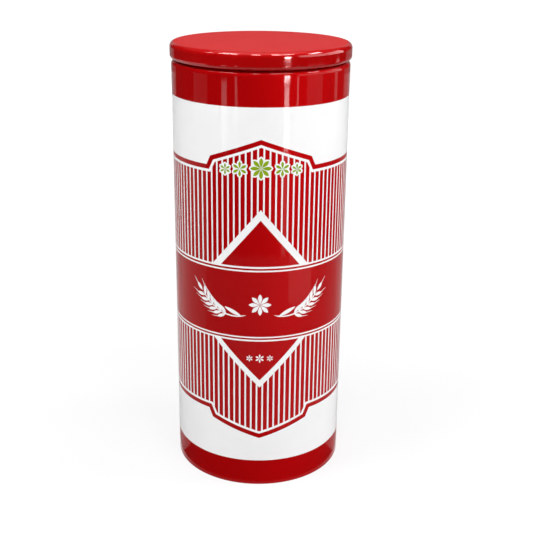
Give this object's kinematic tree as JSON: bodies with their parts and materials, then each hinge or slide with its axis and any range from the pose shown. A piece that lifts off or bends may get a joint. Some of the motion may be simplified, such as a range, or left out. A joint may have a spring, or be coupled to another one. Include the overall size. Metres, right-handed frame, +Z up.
{
  "type": "food canister",
  "caption": "Tall round steel canister for dry food such as spaghetti, with a rolled rim and a push-in lid that a finned ring seals.",
  "frame": {"origin": "centre of the foot, on the surface that the canister stands on", "axes": "+Z up along the canister's axis; the printed front faces -Y and the side seam is at +Y"},
  "size_m": [0.1116, 0.1116, 0.279],
  "materials": {
    "lacquered_steel": "glossy red lacquer on sheet steel, with a red and white print on the body",
    "bare_steel": "bright drawn sheet",
    "sealing_compound": "matt",
    "moulded_plastic": "satin off-white moulding",
    "silicone": "milky satin silicone"
  },
  "bodies": {
    "canister": {"body_shell": "lacquered_steel", "base_pan": "bare_steel", "base_sealant": "sealing_compound"},
    "seal": {"lid_seal": "silicone"},
    "lid": {"lid_cap": "lacquered_steel", "lid_plug": "moulded_plastic"}
  },
  "joints": [
    {"name": "lid_lift", "type": "slide", "parent": "canister", "child": "seal", "axis": [0, 0, 1], "range_m": [0, 0.15]},
    {"name": "lid_turn", "type": "hinge", "parent": "seal", "child": "lid", "pos_m": [0, 0, 0.2653], "axis": [0, 0, 1], "continuous": true}
  ]
}
